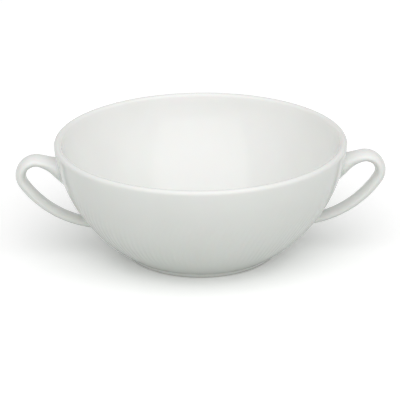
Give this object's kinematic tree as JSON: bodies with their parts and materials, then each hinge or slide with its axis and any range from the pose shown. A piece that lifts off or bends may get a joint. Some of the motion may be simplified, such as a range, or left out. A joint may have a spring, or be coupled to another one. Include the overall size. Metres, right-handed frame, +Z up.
{
  "type": "bouillon cup",
  "caption": "Round white porcelain bouillon cup: a wide open bowl with a full-round lip, a low foot ring and a looped strap handle on each side.",
  "frame": {"origin": "centre of the foot ring's underside, on the surface that the cup stands on", "axes": "+Z up along the bowl's axis, +X towards one handle and -X towards the other"},
  "size_m": [0.152, 0.12, 0.0487],
  "materials": {
    "cup": "white porcelain under a clear glossy glaze, bare on the foot ring's underside"
  },
  "bodies": {
    "root": {"cup": "cup"}
  },
  "joints": []
}
